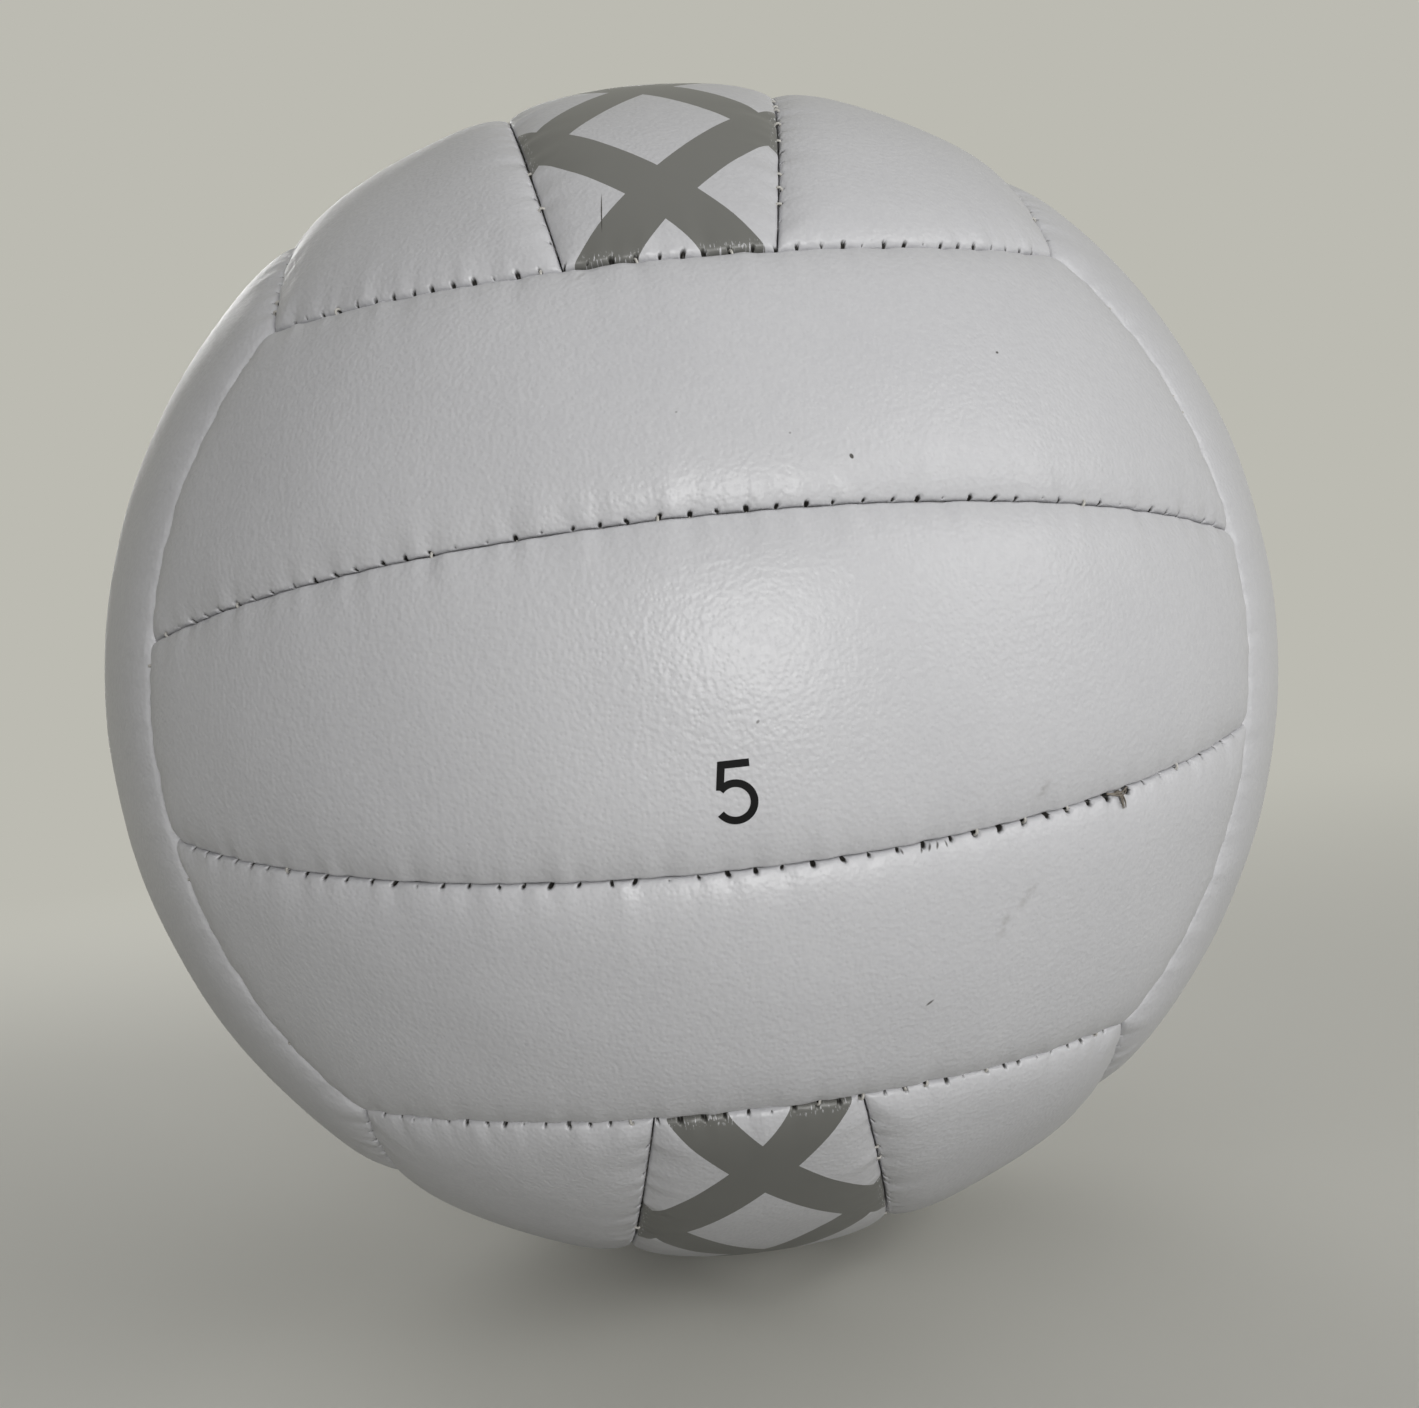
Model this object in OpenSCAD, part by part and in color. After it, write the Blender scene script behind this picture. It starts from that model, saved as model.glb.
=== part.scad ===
// A stitched indoor volleyball. Eighteen cover panels lie as six faces of three strips, sewn edge to edge round a
// foam backing and a rubber bladder. The ball's centre is the origin, the front face looks along -Y and the valve
// is in the middle of the back face.

/* [Ball] */
// Diameter over the crowns of the panels when the ball is pumped up
ball_d = 210; // [180:1:240]

/* [Cover panels] */
// Thickness of the synthetic leather
cover_t = 1.2; // [0.8:0.1:1.8]
// Thickness of the foam and cloth bonded behind the leather
foam_t = 3; // [2.5:0.1:5]
// Radius to which the edge of a panel is rolled in at a seam
edge_roll_r = 2.5; // [2.2:0.1:4]
// Gap between the turned-in edges of two sewn panels
seam_gap = 0.3; // [0.1:0.05:0.5]
// Width of a middle strip across its middle
middle_w = 47; // [40:1:56]
// Width of a middle strip at its ends
middle_end_w = 30.4; // [24:0.2:40]
// Gap that the glue or talc fills between two layers
layer_gap = 0.2; // [0.1:0.05:0.4]

/* [Stitching] */
// Diameter of the sewing thread
thread_d = 0.6; // [0.5:0.05:0.9]
// Gap between the thread and the rolled edges beside it
thread_clear = 0.1; // [0.05:0.01:0.2]
// Length of seam left free of thread before a corner or a crossing seam
thread_end = 2.4; // [2:0.1:5]

/* [Bladder] */
// Wall of the rubber bladder
bladder_t = 0.8; // [0.5:0.1:1.5]

/* [Valve] */
// Diameter of the valve housing's nose, which fills the hole in the cover
nose_d = 9; // [8:0.1:12]
// How far the nose lies below the crown of the cover
nose_sink = 0.5; // [0.3:0.1:1]
// Gap round the nose in the cover, the backing, the patch and the bladder
nose_clear = 0.2; // [0.1:0.05:0.5]
// Diameter of the housing's flange under the bladder wall
flange_d = 28; // [22:1:36]
// Thickness of the housing's flange
flange_t = 1.2; // [0.8:0.1:2]
// Diameter of the housing's barrel inside the bladder
barrel_d = 11; // [9.5:0.5:14]
// Length of the barrel below the flange
barrel_l = 13; // [11:1:18]
// Diameter of the cloth patch round the nose
patch_d = 32; // [26:1:38]
// Thickness of the cloth patch
patch_t = 0.6; // [0.4:0.1:1]

/* [Valve core] */
// Diameter of the core's head
head_d = 6.6; // [6:0.1:7.4]
// Thickness of the core's head
head_t = 1.4; // [1:0.1:2]
// Diameter of the core's stem
stem_d = 4.4; // [4:0.1:5]
// Length of the core's stem below its head
stem_l = 15; // [12:0.5:18]
// Gap between the core and its seat, on the radius
core_clear = 0.05; // [0.03:0.01:0.1]
// Diameter of the passage for the pump's needle
needle_d = 2; // [1.6:0.1:2.4]
// Depth of the needle passage from the top of the head
needle_l = 9; // [6:0.5:11]

/* [Hidden] */
// Each face: its name, its turn about the cube's diagonal, its half turn, and its strips from the front's upper side.
// The thirds of a turn carry the front face's strips, which run along X, to faces where they run along Z or Y.
FACES = [
    ["front", 0, [0, 0, 0], ["upper", "middle", "lower"]],
    ["back", 0, [0, 0, 180], ["upper", "middle", "lower"]],
    ["left", 240, [0, 0, 0], ["rear", "middle", "front"]],
    ["right", 240, [0, 0, 180], ["front", "middle", "rear"]],
    ["bottom", 120, [0, 0, 0], ["right", "middle", "left"]],
    ["top", 120, [180, 0, 0], ["right", "middle", "left"]]
];
VALVE_FACE = "back";
VALVE_NODES = ["bladder", "valve_housing", "valve_core", "valve_patch"];
$fn = 180;

// The share of the ball's radius at which a face's edge seams lie, so that three faces meet at each cube corner
edge_share = 1 / sqrt(3);
// Flats that a cover's rolled edge is made of, and cells that the rest of a strip is made of
cover_rolls = 2;
cells_along = 10;
cells_across = 4;
// How far a cut runs past what it cuts
overrun = 1;

ball_r = ball_d / 2;
rim_r = ball_r - cover_t - foam_t;
bladder_r = rim_r - layer_gap;
bladder_in_r = bladder_r - bladder_t;
edge_angle = acos(edge_share);

// The seam between two strips is the circle in which a tilted plane cuts the ball
middle_y = sqrt(ball_r * ball_r - middle_w * middle_w / 4);
middle_end_y = ball_r * edge_share;
strip_slope = (middle_w - middle_end_w) / 2 / (middle_y - middle_end_y);
strip_tilt = atan(strip_slope);
strip_offset = (middle_w / 2 - strip_slope * middle_y) * cos(strip_tilt);
strip_angle = acos(strip_offset / ball_r);
strip_end_x = sqrt(ball_r * ball_r - middle_end_y * middle_end_y - middle_end_w * middle_end_w / 4);
strip_half_arc = asin(strip_end_x / (ball_r * sin(strip_angle)));

// Where the rolled edge's centre and the thread lie along the seam's radius
roll_side = seam_gap / 2 + edge_roll_r;
roll_reach = ball_r - edge_roll_r;
roll_along = sqrt(roll_reach * roll_reach - roll_side * roll_side);
thread_gap = edge_roll_r + thread_clear + thread_d / 2;
thread_along = roll_along + sqrt(thread_gap * thread_gap - roll_side * roll_side);
thread_end_angle = asin(thread_end / ball_r);

nose_top = ball_r - nose_sink;
flange_top_r = bladder_in_r - layer_gap;
flange_low_r = flange_top_r - flange_t;
barrel_low = flange_low_r - barrel_l;
seat_low = nose_top - head_t - core_clear;
core_low = nose_top - head_t - stem_l;

function cover_name(face, i) = str(face[0], "_", face[3][i], "_panel");
function backing_name(face, i) = str(face[0], "_", face[3][i], "_backing");
function strip_thread_name(face) = str(face[0], "_strip_stitching");
function end_thread_name(face) = str(face[0], "_end_stitching");

// A point on a seam's section: along the seam's radius, and to the side of it away from the axis
function seam_point(angle, along, side) =
    along * [sin(angle), cos(angle)] + side * [cos(angle), -sin(angle)];

// Carries the front face's frame to another face
module on_face(face) {
    rotate(face[2]) rotate(a = face[1], v = [1, 1, 1]) children();
}

// Points the Z axis of what it holds along the valve
module along_valve() {
    rotate([-90, 0, 0]) children();
}

// The planes that hold the front face's seams from its lower edge to its upper one, as [y, z, distance]:
// a seam is where y * Y + z * Z = distance on the ball
function seam_planes() = [
    [0, 1, -ball_r * edge_share],
    [-sin(strip_tilt), cos(strip_tilt), -strip_offset],
    [sin(strip_tilt), cos(strip_tilt), strip_offset],
    [0, 1, ball_r * edge_share]
];

// The plane a share of the way across a strip, with its normal brought to length one
function plane_across(i, share) =
    let (
        low = seam_planes()[2 - i],
        high = seam_planes()[3 - i],
        mixed = low * (1 - share) + high * share
    )
    mixed / norm([mixed[0], mixed[1]]);

// Half the turn that a plane's circle makes before it meets the face's end seam
function half_turn(plane) =
    acos((plane[2] * plane[0] + ball_r * edge_share) / (circle_r(plane) * plane[1]));
function circle_r(plane) = sqrt(ball_r * ball_r - plane[2] * plane[2]);

// A point of the ball on strip i of the front face, by shares of the way along and across it
function ball_point(i, along, across) =
    let (
        plane = plane_across(i, across),
        turn = (2 * along - 1) * half_turn(plane),
        r = circle_r(plane)
    )
    [
        r * sin(turn),
        plane[2] * plane[0] - r * cos(turn) * plane[1],
        plane[2] * plane[1] + r * cos(turn) * plane[0]
    ];
function strip_length(i, across) =
    let (plane = plane_across(i, across)) circle_r(plane) * half_turn(plane) * PI / 90;
function strip_width(i, along) = norm(ball_point(i, along, 1) - ball_point(i, along, 0));

// Grid lines over a strip, one way, as [share of the way, distance to move from there, radius]. The first and last
// lines follow the rolled edge from its wall to the crown, and the others share out the crown.
function grid_lines(rolls, cells, inset) = concat(
    [for (k = [0:rolls]) roll_line(0, 1, 90 - k * 90 / rolls, inset)],
    [for (j = [1:cells - 1]) [j / cells, roll_side * (1 - 2 * j / cells), ball_r - inset]],
    [for (k = [0:rolls]) roll_line(1, -1, k * 90 / rolls, inset)]
);
function roll_line(share, inwards, angle, inset) = [
    share,
    inwards * (roll_side - (edge_roll_r - inset) * sin(angle)),
    ball_r - edge_roll_r + (edge_roll_r - inset) * cos(angle)
];

// The grid's points. The lowest of the two lines through a point sets its radius.
function grid_points(i, lines_along, lines_across) = [
    for (across = lines_across) for (along = lines_along)
        min(along[2], across[2]) / ball_r * ball_point(
            i,
            along[0] + along[1] / strip_length(i, across[0]),
            across[0] + across[1] / strip_width(i, along[0])
        )
];
function at_radius(points, r) = [for (p = points) p * r / norm(p)];

// The grid's outer points in order round it, and its faces
function grid_rim(n, m) = concat(
    [for (x = [0:n - 2]) x],
    [for (y = [0:m - 2]) y * n + n - 1],
    [for (x = [n - 1:-1:1]) (m - 1) * n + x],
    [for (y = [m - 1:-1:1]) y * n]
);
function grid_faces(n, m, first, turned) = [
    for (y = [0:m - 2]) for (x = [0:n - 2])
        let (
            a = first + y * n + x,
            b = a + n,
            quad = turned ? [a, a + 1, b + 1, b] : [a, b, b + 1, a + 1]
        )
        for (triangle = [[quad[0], quad[1], quad[2]], [quad[0], quad[2], quad[3]]]) triangle
];
function band_faces(upper, lower) = [
    for (k = [0:len(upper) - 1])
        let (next = (k + 1) % len(upper))
        for (triangle = [[upper[k], upper[next], lower[next]], [upper[k], lower[next], lower[k]]]) triangle
];

// A closed solid from an outer grid, rings that lead down its edge, and an inner grid with its face to the centre
module grid_solid(n, m, outer, rings, inner) {
    rim = grid_rim(n, m);
    turns = len(rim);
    inner_first = len(outer) + len(rings);
    ring_rims = [
        for (k = [0:1:len(rings) / turns - 1]) [for (j = [0:turns - 1]) len(outer) + k * turns + j]
    ];
    bands = concat([rim], ring_rims, [[for (k = rim) inner_first + k]]);
    polyhedron(
        points = concat(outer, rings, inner),
        faces = concat(
            grid_faces(n, m, 0, false),
            [for (k = [0:len(bands) - 2]) for (face = band_faces(bands[k], bands[k + 1])) face],
            grid_faces(n, m, inner_first, true)
        )
    );
}

// One strip's cover in the front face: a tray with a crowned top, rolled edges and a turned-in rim
module strip_cover(i) {
    outer_along = grid_lines(cover_rolls, cells_along, 0);
    outer_across = grid_lines(cover_rolls, cells_across, 0);
    outer = grid_points(i, outer_along, outer_across);
    inner = grid_points(
        i,
        grid_lines(cover_rolls, cells_along, cover_t),
        grid_lines(cover_rolls, cells_across, cover_t)
    );
    n = len(outer_along);
    m = len(outer_across);
    rim = grid_rim(n, m);
    rings = concat(
        at_radius([for (k = rim) outer[k]], rim_r - overrun),
        at_radius([for (k = rim) inner[k]], rim_r - overrun)
    );
    difference() {
        grid_solid(n, m, outer, rings, inner);
        sphere(r = rim_r);
    }
}

// One strip's backing in the front face, which fills its cover's tray
module strip_backing(i) {
    lines_along = grid_lines(1, cells_along, cover_t + layer_gap);
    lines_across = grid_lines(1, cells_across, cover_t + layer_gap);
    outer = grid_points(i, lines_along, lines_across);
    difference() {
        grid_solid(len(lines_along), len(lines_across), outer, [], at_radius(outer, rim_r - overrun));
        sphere(r = rim_r);
    }
}

// The hole in a layer for the valve's nose
module nose_hole() {
    along_valve() cylinder(d = nose_d + 2 * nose_clear, h = ball_r + overrun);
}

// One cover panel of synthetic leather, with its edges turned in round the backing
module cover_panel(face, i) {
    printed = (face[0] == "top" || face[0] == "bottom") && i == 1;
    color(printed ? "silver" : "gainsboro") difference() {
        on_face(face) strip_cover(i);
        if (face[0] == VALVE_FACE && i == 1) nose_hole();
    }
}

// The foam and cloth backing of one panel, with a recess for the patch behind the valve's panel
module backing(face, i) {
    color("wheat") difference() {
        on_face(face) strip_backing(i);
        if (face[0] == VALVE_FACE && i == 1) {
            nose_hole();
            intersection() {
                sphere(r = rim_r + patch_t + layer_gap);
                along_valve() cylinder(d = patch_d + 2 * layer_gap, h = ball_r);
            }
        }
    }
}

// A run of thread in the valley of a seam, centred on azimuth zero
module thread_run(angle, half_arc) {
    arc = 2 * (half_arc - thread_end_angle);
    rotate([0, 0, -arc / 2])
        rotate_extrude(angle = arc) translate(seam_point(angle, thread_along, 0)) circle(d = thread_d);
}

// The two runs between a face's strips
module strip_stitching(face) {
    color("whitesmoke") on_face(face) for (side = [1, -1])
        rotate([-side * strip_tilt + (side > 0 ? 0 : 180), 0, 0]) rotate([0, 0, -90 * side])
            thread_run(strip_angle, strip_half_arc);
}

// The two runs across the ends of a face's strips
module end_stitching(face) {
    color("whitesmoke") on_face(face) rotate([90, 0, 0]) for (turn = [0, 180])
        rotate([0, 0, turn]) thread_run(edge_angle, 45);
}

// The rubber bladder, with a mouth that the valve's nose fills
module bladder() {
    color("dimgray") difference() {
        sphere(r = bladder_r);
        sphere(r = bladder_in_r);
        nose_hole();
    }
}

// The rubber valve housing: a nose, a flange bonded under the bladder wall, and a barrel with the core's seat
module valve_housing() {
    seat_d = stem_d + 2 * core_clear;
    color("black") along_valve() rotate_extrude() difference() {
        union() {
            translate([0, flange_low_r - overrun]) square([nose_d / 2, nose_top - flange_low_r + overrun]);
            translate([0, barrel_low]) square([barrel_d / 2, barrel_l]);
            intersection() {
                difference() {
                    circle(r = flange_top_r);
                    circle(r = flange_low_r);
                }
                square([flange_d / 2, ball_r]);
            }
        }
        translate([-overrun, barrel_low - overrun]) square([seat_d / 2 + overrun, ball_r]);
        translate([-overrun, seat_low]) square([head_d / 2 + core_clear + overrun, ball_r]);
    }
}

// The replaceable rubber core, with the needle passage down its middle
module valve_core() {
    color("darkgray") along_valve() difference() {
        union() {
            translate([0, 0, core_low]) cylinder(d = stem_d, h = stem_l + overrun);
            translate([0, 0, nose_top - head_t]) cylinder(d = head_d, h = head_t);
        }
        translate([0, 0, nose_top - needle_l]) cylinder(d = needle_d, h = needle_l + overrun);
    }
}

// The cloth patch that stiffens the bladder's mouth
module valve_patch() {
    color("khaki") difference() {
        intersection() {
            sphere(r = rim_r + patch_t);
            along_valve() cylinder(d = patch_d, h = ball_r);
        }
        sphere(r = rim_r);
        nose_hole();
    }
}

for (face = FACES) {
    for (i = [0:2]) {
        cover_panel(face, i);
        backing(face, i);
    }
    strip_stitching(face);
    end_stitching(face);
}
bladder();
valve_housing();
valve_core();
valve_patch();
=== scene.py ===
"""An indoor volleyball of 18 sewn panels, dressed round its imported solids.

The ball's middle is the origin, the front face looks along -Y and the valve is in the middle of the
back face. Shapes are worked out in millimetres on the front face, turned to their own face, and brought
to metres as they become meshes.
"""

import bpy
import numpy as np
from mathutils import Matrix, Vector


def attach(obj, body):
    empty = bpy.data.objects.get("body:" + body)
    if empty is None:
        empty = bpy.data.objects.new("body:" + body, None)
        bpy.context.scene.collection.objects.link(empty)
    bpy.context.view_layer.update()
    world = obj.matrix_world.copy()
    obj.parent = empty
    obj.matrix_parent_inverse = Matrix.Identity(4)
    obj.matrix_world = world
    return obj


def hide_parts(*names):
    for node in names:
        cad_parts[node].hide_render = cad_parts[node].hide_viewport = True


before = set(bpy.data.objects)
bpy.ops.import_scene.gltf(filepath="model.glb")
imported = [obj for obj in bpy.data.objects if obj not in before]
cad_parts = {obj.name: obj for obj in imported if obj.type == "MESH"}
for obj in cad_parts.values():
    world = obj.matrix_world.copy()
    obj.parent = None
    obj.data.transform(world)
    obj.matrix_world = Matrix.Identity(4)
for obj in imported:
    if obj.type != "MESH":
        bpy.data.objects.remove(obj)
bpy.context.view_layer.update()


# Camera
# The photograph was taken from about 0.2 m in front of the ball, nearly level with its middle, with the
# ball rolled about 6 degrees in the picture. The lens is a phone's, near 41 mm on a 36 mm wide sensor.
camera = bpy.data.cameras.new("camera")
camera.sensor_width = 36.0
camera.lens = 41.38
camera.clip_start = 0.01
camera_object = bpy.data.objects.new("camera", camera)
camera_object.location = (-0.01052, -0.30958, 0.00916)
camera_object.rotation_euler = np.radians((87.169, 5.986, -2.695))
bpy.context.scene.collection.objects.link(camera_object)
bpy.context.scene.camera = camera_object


# Cover panels
# Eighteen pieces of soft polyurethane synthetic leather, three to a face. Each is cut to a barrel or a
# lens shape, its edges are turned in round the foam behind it, and it is hand sewn to its neighbours
# through punched holes.
ball_r = 105.0
leather_t = 1.2
# The feet of the covers stand on a ball of this radius
rim_r = 100.8
# Rounds of the turned-in edges: at a strip's ends, at an edge between faces and at a seam between strips
end_roll_r, edge_roll_r, strip_roll_r = 0.6, 1.1, 0.5
seam_gap = 0.22
# The leather falls towards a seam by a steep shoulder and a wide gentle crown
shoulder_drop, shoulder_reach = 1.35, 2.7
crown_drop, crown_reach = 0.35, 11.0
# The crown lies this far inside the ball's radius, which leaves room for the waves
crown_ease = 0.1
edge_plane = ball_r / np.sqrt(3)
edge_circle_r = ball_r * np.sqrt(2 / 3)
# Width of a middle strip at its middle and at its ends
middle_w = 47.0
middle_end_w = 30.4
middle_y = np.sqrt(ball_r**2 - middle_w**2 / 4)
strip_slope = (middle_w - middle_end_w) / 2 / (middle_y - edge_plane)
strip_tilt = np.arctan(strip_slope)
strip_offset = (middle_w / 2 - strip_slope * middle_y) * np.cos(strip_tilt)

# Each face with the axes that the front face's X, Y and Z are carried to, and the names of its three
# strips
faces = {
    "front": (((1, 0, 0), (0, 1, 0), (0, 0, 1)), ("upper", "middle", "lower")),
    "back": (((-1, 0, 0), (0, -1, 0), (0, 0, 1)), ("upper", "middle", "lower")),
    "left": (((0, 0, 1), (1, 0, 0), (0, 1, 0)), ("rear", "middle", "front")),
    "right": (((0, 0, 1), (-1, 0, 0), (0, -1, 0)), ("front", "middle", "rear")),
    "bottom": (((0, 1, 0), (0, 0, 1), (1, 0, 0)), ("right", "middle", "left")),
    "top": (((0, -1, 0), (0, 0, -1), (1, 0, 0)), ("right", "middle", "left")),
}
face_names = list(faces)

# The planes of the front face's four seams from its lower edge up, as rows of y, z and distance
seam_planes = np.array(
    [
        (0, 1, -edge_plane),
        (-np.sin(strip_tilt), np.cos(strip_tilt), -strip_offset),
        (np.sin(strip_tilt), np.cos(strip_tilt), strip_offset),
        (0, 1, edge_plane),
    ]
)


def strip_circle(strip, across):
    """The circle of the ball a share of the way across a strip, in a plane blended from the strip's two
    seam planes. Returns the plane, the circle's radius and half the turn that it makes between the
    face's ends."""
    share = np.asarray(across)[..., None]
    plane = seam_planes[2 - strip] * (1 - share) + seam_planes[3 - strip] * share
    plane = plane / np.hypot(plane[..., 0], plane[..., 1])[..., None]
    y, z, distance = np.moveaxis(plane, -1, 0)
    circle_r = np.sqrt(ball_r**2 - distance**2)
    return (y, z, distance), circle_r, np.arccos((distance * y + edge_plane) / (circle_r * z))


def strip_point(strip, along, across):
    """Points of the ball on a strip of the front face: a turn along the circle that lies that share
    across."""
    (y, z, distance), circle_r, half_turn = strip_circle(strip, across)
    turn = (2 * along - 1) * half_turn
    reach = circle_r * np.cos(turn)
    return np.stack([circle_r * np.sin(turn), distance * y - reach * z, distance * z + reach * y], -1)


def strip_length(strip, across):
    """Length of the circle between the face's two ends, a share of the way across."""
    _, circle_r, half_turn = strip_circle(strip, across)
    return 2 * circle_r * half_turn


def strip_width(strip, along):
    """Straight width of the strip a share of the way along."""
    north, south = strip_point(strip, along, 0 * along + 1), strip_point(strip, along, 0 * along)
    return np.linalg.norm(north - south, axis=-1)


# Stitches: the strips' own seams are sewn a little wider than the twelve edges between faces
strip_pitch, edge_pitch = 3.9, 3.35
unsewn_ends = 5.0
place_scatter, place_seed = 0.28, 900
# Numbers of the seams: a strip seam has ten times its face plus its line, and an edge between two faces
# goes by the three signs of its middle
face_step, edge_steps = 10, (9, 3, 1)
edge_seams_middle, first_edge_seam = 100, 80
# Needle holes: half sizes and place off the seam in mm, and sizes as shares of these
hole_half, hole_reach, hole_off = 0.36, 0.42, 0.4
hole_deep, hole_wall = 1.0, 2.2
hole_sizes, small_share, small_size = (0.75, 1.25), 0.12, 0.5
hole_lean = 0.5
mark_reach = 12.0
# The pull of each stitch on the leather, and the slow lumps along a seam by their radians per mm
pull_along, pull_off, pull_deep = 1.2, 2.2, 0.2
lump_rates, lump_reach, lump_high = (0.45, 0.71, 1.07), 4.5, 0.09
# A stitch of the seam under the front middle panel has torn the two holes beside it, at this place
# along the seam, and has pulled the holes to the left of it wide
fray_place = 58.0
torn_size = 2.2
worn_reach, worn_size = 25.0, 1.5


def seam_of(face, strip, side):
    """Number of the seam on one side of a strip, +1 or -1 for the way it counts along the side, and its
    pitch."""
    axes = np.array(faces[face][0])
    line = {"south": 2 - strip, "north": 3 - strip}.get(side)
    if line in (1, 2):
        return face_step * face_names.index(face) + line, 1, strip_pitch
    if line is None:
        middle, along = (-1 if side == "west" else 1, -1, 0), 2
    else:
        middle, along = (0, -1, -1 if line == 0 else 1), 0
    corner = np.array(middle) @ axes
    return edge_seams_middle + int(corner @ edge_steps), int(axes[along].sum()), edge_pitch


def stitch_places(seam, pitch):
    """Places of a seam's stitches along it from its middle, evenly spaced with a small seeded scatter."""
    length = edge_circle_r * np.pi / 2 if seam > first_edge_seam else float(strip_length(1, np.array(1.0)))
    count = int((length - unsewn_ends) / pitch)
    even = (np.arange(count) - (count - 1) / 2) * pitch
    return even + np.random.default_rng(seam + place_seed).uniform(-place_scatter, place_scatter, count)


def needle_marks(face, strip, side, along_seam, off_seam):
    """Depth of each point in a needle hole beside a seam, above 0 inside a hole, and how far the sewing
    pulls the leather down, in mm. A hole is a leaning ellipse on the seam, and its size is drawn for
    each stitch. The pull is a dimple round each stitch and slow lumps along the seam."""
    seam, turned, pitch = seam_of(face, strip, side)
    places = stitch_places(seam, pitch)
    panel = 3 * face_names.index(face) + strip
    draws = np.random.default_rng((seam, panel))
    size = draws.uniform(*hole_sizes, len(places))
    size[draws.random(len(places)) < small_share] = small_size
    lean = draws.uniform(-hole_lean, hole_lean, len(places))
    if (face, strip, side) == ("front", 2, "north"):
        size[(places > fray_place - worn_reach) & (places < fray_place)] = worn_size
        torn = abs(places - fray_place) < pitch
        size[torn], lean[torn] = torn_size, 0.0
    phase = draws.uniform(0, 2 * np.pi, 3)
    pierced = side in ("west", "east") or (strip != 1 and seam < first_edge_seam)
    nearest = np.abs(turned * along_seam[:, None] - places).argmin(1)
    beside = turned * along_seam - places[nearest]
    leaning = beside - lean[nearest] * off_seam
    hole = size[nearest] * pierced - np.hypot(leaning / hole_half, (off_seam - hole_off) / hole_reach)
    pull = pull_deep * size[nearest] * np.exp(-((beside / pull_along) ** 2) - off_seam / pull_off)
    lumps = np.sin(along_seam[:, None] * lump_rates + phase).sum(1)
    return hole, pull + lump_high * lumps * np.exp(-off_seam / lump_reach)


def rolled(distance, roll_r, inset=0.0):
    """Depth below the crown at a distance from a seam, beyond the inset: a wide gentle fall, a shoulder
    that dies away from the seam, and on the outside the small round of the turned-in edge, of that
    radius."""
    round_r = np.maximum(roll_r - inset, 0.0)
    turned = np.clip(seam_gap / 2 + round_r - distance, 0, round_r)
    gentle = crown_drop * np.clip(1 - distance / crown_reach, 0, 1) ** 2
    shoulder = shoulder_drop * np.exp(-distance / shoulder_reach)
    return round_r - np.sqrt(round_r**2 - turned**2) + gentle + shoulder


# Waves of the stuffed leather as radians per mm along x, y and z, start and height in mm
leather_waves = (
    (0.21, 0.0, 0.13, 1.0, 0.035),
    (0.0, 0.17, -0.23, 2.1, 0.035),
    (0.11, -0.19, 0.29, 0.0, 0.035),
    (0.31, -0.27, 0.0, 0.4, 0.021),
)


def waves(place):
    """Slow unevenness of the stuffed leather, in mm: a sum of sines of the place, 15 to 25 mm long."""
    return sum(high * np.sin(place @ (x, y, z) + start) for x, y, z, start, high in leather_waves)


def cover_points(face, strip, along, across, inset=0.0):
    """Points of a cover's skin, at shares of the way along and across its strip, in the frame of the
    whole ball. The depths from the seams beside it and at its ends join as a root of fourth powers,
    which rounds the corners. Returns points, and for each its depth in a needle hole, its distance from
    the nearest seam in mm and its flat place in mm."""
    length = strip_length(strip, across)
    width = strip_width(strip, along)
    west, east = along * length, (1 - along) * length
    south, north = across * width, (1 - across) * width
    place = strip_point(strip, along, across)
    side_roll_r = np.where(south < north, edge_roll_r if strip == 2 else strip_roll_r, strip_roll_r)
    side_roll_r = np.where(north < south, edge_roll_r if strip == 0 else strip_roll_r, side_roll_r)
    ends = rolled(np.minimum(west, east), end_roll_r, inset)
    sides = rolled(np.minimum(south, north), side_roll_r, inset)
    drop = inset + (ends**4 + sides**4) ** 0.25
    hole = np.full(len(along), -1.0)
    if inset == 0:
        _, circle_r, half_turn = strip_circle(strip, across)
        along_side = circle_r * (2 * along - 1) * half_turn
        along_end = edge_circle_r * np.arctan2(place[:, 2], np.abs(place[:, 0]))
        pull = np.zeros(len(along))
        for side, along_seam, off_seam in (
            ("south", along_side, south),
            ("north", along_side, north),
            ("west", along_end, west),
            ("east", along_end, east),
        ):
            near = np.flatnonzero(off_seam < mark_reach)
            if len(near):
                mark, tug = needle_marks(face, strip, side, along_seam[near], off_seam[near])
                hole[near] = np.maximum(hole[near], mark)
                pull[near] += tug
        drop = drop + hole_deep * np.clip(hole_wall * hole, 0, 1) + pull
    axes = np.array(faces[face][0])
    world = place @ axes
    drop = drop - waves(world) + crown_ease
    flat = np.stack([(along - 0.5) * length, (across - 0.5) * width, 0 * along], 1)
    off_seam = np.min([west, east, south, north], axis=0)
    return world * ((ball_r - drop) / ball_r)[:, None], hole, off_seam, flat


def rim_shares(cells_along, cells_across):
    """Shares of the way along and across at the points round a rectangle, counter-clockwise."""
    along = np.arange(cells_along) / cells_along
    across = np.arange(cells_across) / cells_across
    return (
        np.concatenate([along, np.ones(cells_across), 1 - along, np.zeros(cells_across)]),
        np.concatenate([np.zeros(cells_along), across, np.ones(cells_along), 1 - across]),
    )


def grid_shares(cells_along, cells_across):
    """Shares of the way along and across at the points of a grid, row by row."""
    column, row = np.meshgrid(np.arange(cells_along + 1), np.arange(cells_across + 1))
    return (column / cells_along).ravel(), (row / cells_across).ravel()


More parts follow.
